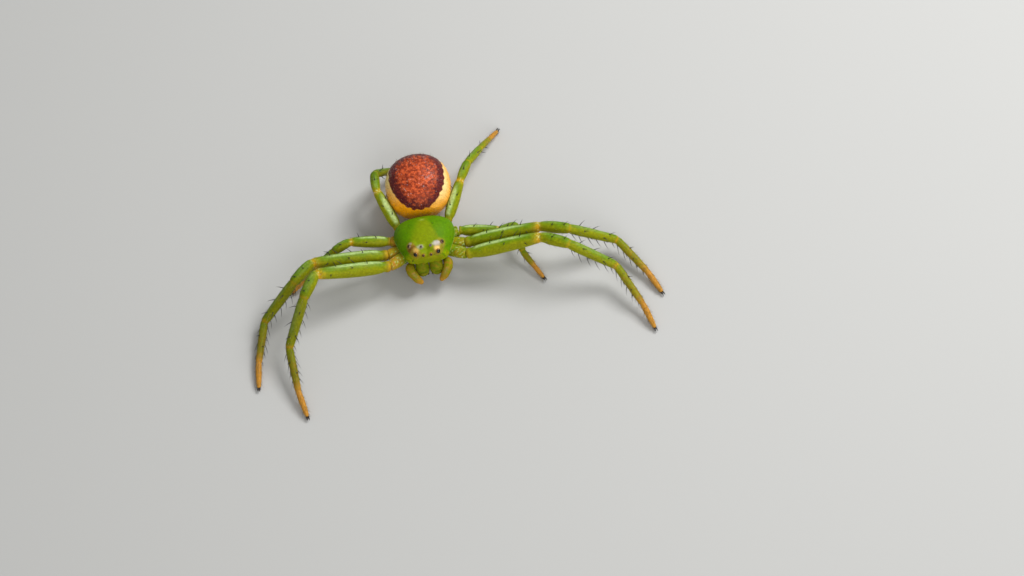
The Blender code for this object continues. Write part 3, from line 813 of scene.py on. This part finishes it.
def add_leg_hairs(bristles, sockets, hairs, leg, side):
    """Stout bristles on dark sockets, and fine hairs over the whole leg."""
    rng = random.Random(40 + leg_index(leg, side))
    path, places, radii = leg_surface(leg, side)
    table = FRONT_BRISTLES + EDGE_BRISTLES if leg < 3 else HIND_BRISTLES
    for place, degrees, length in table:
        turn = math.radians(degrees) * -side + rng.uniform(-0.1, 0.1)
        place = place + rng.uniform(-0.02, 0.02)
        point, out, ahead = leg_point(path, places, radii, place, turn)
        way = out + ahead * (rng.uniform(0.15, 0.4) if abs(degrees) < 60 else rng.uniform(0.6, 0.9))
        spot = leg_spot(leg, side, place, turn / (2 * math.pi))
        length = length * rng.uniform(0.9, 1.1)
        bend = ahead * 0.8 - out * 0.2
        add_cone(bristles, point - out * 0.02, way, bend, length, BRISTLE_RADIUS, BRISTLE_BLACK, spot, 6, 5)
        add_cone(sockets, point - out * 0.012, out, STRAIGHT, 0.03, SOCKET_RADIUS, SOCKET_BROWN, spot, 8, 3)
    for _ in range(FINE_HAIRS[leg]):
        place = rng.uniform(0.12, 4.95) if rng.random() < 0.5 else rng.uniform(2.0, 4.95)
        turn = rng.uniform(0, 2 * math.pi)
        point, out, ahead = leg_point(path, places, radii, place, turn)
        way = out * rng.uniform(0.5, 1.0) + ahead
        tone = mix(*LEG_HAIR, rng.random() ** 1.5)
        spot = leg_spot(leg, side, place, turn / (2 * math.pi))
        length = rng.uniform(0.07, 0.17) * (1.2 if place > 4 else 1.0)
        add_cone(hairs, point - out * 0.008, way, ahead * 0.6, length, HAIR_RADIUS, tone, spot, 3, 3)


def foot_frame(leg, side):
    """A foot's place, the leg's direction there, and the level directions along and across it."""
    joints = leg_joints(leg, side)
    ahead = unit(joints[-1] - joints[-2])
    level = unit(np.array((ahead[0], ahead[1], 0)))
    return joints[-1], ahead, level, np.array((-level[1], level[0], 0))


def add_claws(shape, leg, side):
    """Two dark curved claws at the end of a leg."""
    foot, ahead, level, across = foot_frame(leg, side)
    for turn in (1, -1):
        root = foot + across * 0.035 * turn - ahead * 0.03
        bow = root + level * 0.13 + np.array((0, 0, 0.015))
        tip = root + level * 0.2 - np.array((0, 0, 0.06))
        path, places = smooth_path((root, bow, tip), 0.06, 0.012)
        sizes = np.interp(places, (0, 1, 2), (0.03, 0.024, 0.006))
        ring, _ = sweep(path, sizes, 8)
        shape.add(ring, tube_faces(len(path), 8), CLAW_BROWN, (0.9, 0.9))


def add_tuft(shape, leg, side):
    """Short dense hairs under the foot, down to the ground."""
    rng = random.Random(90 + leg_index(leg, side))
    foot, ahead, level, across = foot_frame(leg, side)
    for _ in range(TUFT_HAIRS):
        back = rng.uniform(0, 0.16)
        root = foot - ahead * back + across * rng.uniform(-0.05, 0.05)
        end = root + level * rng.uniform(0.0, 0.09) + across * rng.uniform(-0.05, 0.05)
        end[2] = rng.uniform(0.0, 0.015)
        way = end - root
        spot = leg_spot(leg, side, 4.9, rng.random())
        tone = mix(*TUFT_HAIR, rng.random())
        add_cone(shape, root, way, STRAIGHT, np.linalg.norm(way), TUFT_RADIUS, tone, spot, 3, 3)


def add_body_hairs(shape):
    """Sparse short bristles on the carapace and the face."""
    rng = random.Random(7)
    rows = stations(CARAPACE_PROFILE, CARAPACE_STEPS)
    grid = oval_grid(rows, CARAPACE_POWER, CARAPACE_SIDES)
    normals = grid_normals(grid)
    count = 0
    while count < BODY_HAIRS:
        r, c = rng.randrange(8, len(rows) - 12), rng.randrange(CARAPACE_SIDES)
        p, n = grid[r, c], normals[r, c]
        if p[2] < 0.1 or (p[1] > -0.7 and rng.random() < 0.6):
            continue
        way = body_way(n + np.array((0, -0.5, 0.15)))
        spot = (0.02 + 0.45 * c / CARAPACE_SIDES, 0.52 + 0.45 * r / len(rows))
        root, bend = body_point(p - n * 0.01), np.array((0, -0.5, 0))
        add_cone(shape, root, way, bend, rng.uniform(0.08, 0.2), BODY_RADIUS, BODY_HAIR, spot, 4, 4)
        count += 1


def add_abdomen_hairs(shape):
    """Short pale and dark hairs over the abdomen."""
    rng = random.Random(17)
    rows = abdomen_rows()
    grid = oval_grid(rows, ABDOMEN_POWER, ABDOMEN_SIDES)
    normals = grid_normals(grid)
    for _ in range(REAR_HAIRS):
        r = rng.randrange(12, len(rows) - 4)
        c = rng.randrange(ABDOMEN_SIDES)
        p, n = grid[r, c], normals[r, c]
        lean = n + np.array((0, 0.5, 0)) + np.array([rng.uniform(-0.25, 0.25) for _ in range(3)])
        way = unit(abdomen_point(lean) - abdomen_point((0, 0, 0)))
        tone = mix(*REAR_HAIR, rng.random())
        spot = (0.02 + 0.9 * c / ABDOMEN_SIDES, 0.02 + 0.7 * r / len(rows))
        root, bend = abdomen_point(p - n * 0.01), np.array((0, 0.4, -0.2))
        add_cone(shape, root, way, bend, rng.uniform(0.06, 0.13), REAR_RADIUS, tone, spot, 3, 3)


def eye_material():
    """Glossy lens that shows its painted tint."""
    material, tree, shader = nodes_of("eye_lens")
    tint = tree.nodes.new("ShaderNodeAttribute")
    tint.attribute_name = "tint"
    tree.links.new(tint.outputs["Color"], shader.inputs["Base Color"])
    set_values(shader, Roughness=0.06, IOR=1.33, Coat_Weight=0.25, Coat_Roughness=0.03)
    return material


def lens_colour(name, tilt):
    """Dark in the middle, brown or amber round it, by degrees from the lens's middle."""
    middle, rim, start = {
        "eye_anterior_lateral": ((0.003, 0.002, 0.001), (0.3, 0.13, 0.02), 50),
        "eye_posterior_lateral": ((0.03, 0.014, 0.006), (0.2, 0.11, 0.05), 40),
        "eye_anterior_median": ((0.04, 0.018, 0.006), (0.2, 0.1, 0.02), 36),
        "eye_posterior_median": ((0.07, 0.055, 0.045), (0.25, 0.2, 0.17), 30),
    }[name]
    return mix(middle, rim, float(ease(start, start + 18, tilt)))


def add_eyes(material):
    """Eight domed lenses, each a piece of its own."""
    sides, rings = 32, 14
    for name, (place, way, radius, _, _) in EYES.items():
        for side in (1, -1):
            label = f"{name}_{'left' if side > 0 else 'right'}"
            centre = body_point((side * place[0], place[1], place[2]))
            ahead = body_way((side * way[0], way[1], way[2]))
            across = unit(np.cross(ahead, (0, 0, 1.0)))
            up = np.cross(across, ahead)
            shape = Shape()
            points, colours = [], []
            for k in range(rings):
                tilt = math.radians(4 + 116 * k / (rings - 1))
                middle = ahead * (math.cos(tilt) * 0.95 - 0.1)
                colours += [lens_colour(name, math.degrees(tilt))] * sides
                for s in range(sides):
                    turn = 2 * math.pi * s / sides
                    out = across * math.cos(turn) + up * math.sin(turn)
                    points.append(centre + radius * (middle + out * math.sin(tilt)))
            faces = [tuple(reversed(f)) for f in tube_faces(rings, sides)]
            shape.add(points, faces, np.array(colours), (0.5, 0.5))
            item = shape.build(label + "_lens", material)
            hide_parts(label)


def make_floor():
    """A plain pale floor under the feet."""
    mesh = bpy.data.meshes.new("floor")
    half = 4.0
    corners = [(-half, -half, 0), (half, -half, 0), (half, half, 0), (-half, half, 0)]
    mesh.from_pydata(corners, [], [(0, 1, 2, 3)])
    item = bpy.data.objects.new("floor", mesh)
    material, _, shader = nodes_of("floor_plain")
    set_values(shader, Base_Color=(0.5, 0.5, 0.49, 1.0), Roughness=0.9)
    mesh.materials.append(material)
    bpy.context.scene.collection.objects.link(item)


# Lamps: name, place and size in metres, power in watts
LAMPS = (
    ("key", (0.055, 0.03, 0.075), 0.04, 0.08),
    ("fill", (0.03, -0.13, 0.09), 0.12, 0.12),
)


def make_light():
    """Studio light: a pale surround, a key lamp and a soft fill in front."""
    world = bpy.data.worlds.new("studio")
    world.use_nodes = True
    world.node_tree.nodes["Background"].inputs["Color"].default_value = (1.0, 1.0, 0.97, 1.0)
    world.node_tree.nodes["Background"].inputs["Strength"].default_value = 0.38
    bpy.context.scene.world = world
    for name, place, size, power in LAMPS:
        data = bpy.data.lights.new(name, "AREA")
        data.size = size
        data.energy = power
        item = bpy.data.objects.new(name, data)
        item.location = place
        item.rotation_euler = Vector(place).to_track_quat("Z", "Y").to_euler()
        bpy.context.scene.collection.objects.link(item)


def make_camera():
    """The camera at the photo's angle, scale and framing."""
    across = Vector((1, 0, 0))
    up = Vector((0, math.sin(CAMERA_CLIMB), math.cos(CAMERA_CLIMB)))
    back = Vector((0, -math.cos(CAMERA_CLIMB), math.sin(CAMERA_CLIMB)))
    c, s = math.cos(CAMERA_ROLL), math.sin(CAMERA_ROLL)
    right, top = across * c + up * s, up * c - across * s
    width = PICTURE[0] / PIXELS_PER_MM
    dx = (PICTURE[0] / 2 - ORIGIN_PIXEL[0]) / PIXELS_PER_MM
    dy = (ORIGIN_PIXEL[1] - PICTURE[1] / 2) / PIXELS_PER_MM
    aim = Vector(SHIFT) + right * dx + top * dy
    distance = width * CAMERA_LENS / CAMERA_SENSOR
    data = bpy.data.cameras.new("camera")
    data.lens = CAMERA_LENS
    data.sensor_width = CAMERA_SENSOR
    data.clip_start = 0.01
    item = bpy.data.objects.new("camera", data)
    turn = Matrix((right, top, back)).transposed().to_4x4()
    item.matrix_world = Matrix.Translation((aim + back * distance) * MM) @ turn
    bpy.context.scene.collection.objects.link(item)
    bpy.context.scene.camera = item


def main():
    """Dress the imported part."""
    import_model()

    chitin = skin_material("leg_skin", 0.16, 0.09, 0.25, 0.03, **flesh(0.45, 0.1))
    shield = skin_material("carapace_skin", 0.1, 0.12, 0.12, 0.05, **flesh(0.5, 0.05))
    satin = skin_material("abdomen_skin", 0.3, 0.04, 0.9, 0.05, **flesh(0.38, 0.16, 0.05, 0.1))
    bristle = skin_material("bristle", 0.1, 0.2, 0.0, 0.1, Roughness=0.4)
    horn = skin_material("horn", 0.1, 0.1, 0.0, 0.1, Roughness=0.45)

    front = Shape()
    add_carapace(front)
    for side in (1, -1):
        shift = 0.06 * (side < 0)
        add_limb(front, mirrored(PALP_JOINTS, side), PALP_RADII, palp_colours, (0.55 + shift, 0.55), 0.14)
        add_limb(front, mirrored(LOBE_JOINTS, side), LOBE_RADII, jaw_colours, (0.7 + shift, 0.55))
    add_limb(front, LIP_JOINTS, LIP_RADII, jaw_colours, (0.82, 0.55))
    item = front.build("front_body_skin", shield)
    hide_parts("cephalothorax", "palp_left", "palp_right")

    limbs = Shape()
    for leg, side in STANCE:
        add_leg(limbs, leg, side)
    item = limbs.build("leg_skin", chitin)
    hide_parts(*[leg_label(leg, side) for leg, side in STANCE])

    rear = Shape()
    add_abdomen(rear)
    item = rear.build("abdomen_skin", satin)
    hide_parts("abdomen")

    for side in (1, -1):
        label = "chelicera_" + ("left" if side > 0 else "right")
        jaw = Shape()
        add_limb(jaw, mirrored(JAW_JOINTS, side), JAW_RADII, jaw_colours, (0.1, 0.1), 0.1)
        item = jaw.build(label + "_shell", shield)
        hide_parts(label)
        fang = Shape()
        route = mirrored(FANG_JOINTS, side)
        add_limb(fang, route, FANG_RADII, lambda p, o, w: FANG_BROWN, (0.3, 0.1), 0.05, 12, 0.02)
        fang.build(label + "_fang", horn)

    bristles, sockets, hairs = Shape(), Shape(), Shape()
    claws, tufts = Shape(), Shape()
    for leg, side in STANCE:
        add_leg_hairs(bristles, sockets, hairs, leg, side)
        add_claws(claws, leg, side)
        add_tuft(tufts, leg, side)
    bristles.build("leg_bristles", bristle)
    sockets.build("bristle_sockets", bristle)
    hairs.build("leg_hairs", bristle)
    tufts.build("foot_tufts", bristle)
    claws.build("claws", horn)
    coat = Shape()
    add_body_hairs(coat)
    coat.build("body_hairs", bristle)
    coat = Shape()
    add_abdomen_hairs(coat)
    coat.build("abdomen_hairs", bristle)
    add_eyes(eye_material())

    make_floor()
    make_light()
    make_camera()
    bpy.context.scene.view_settings.view_transform = "Standard"


main()
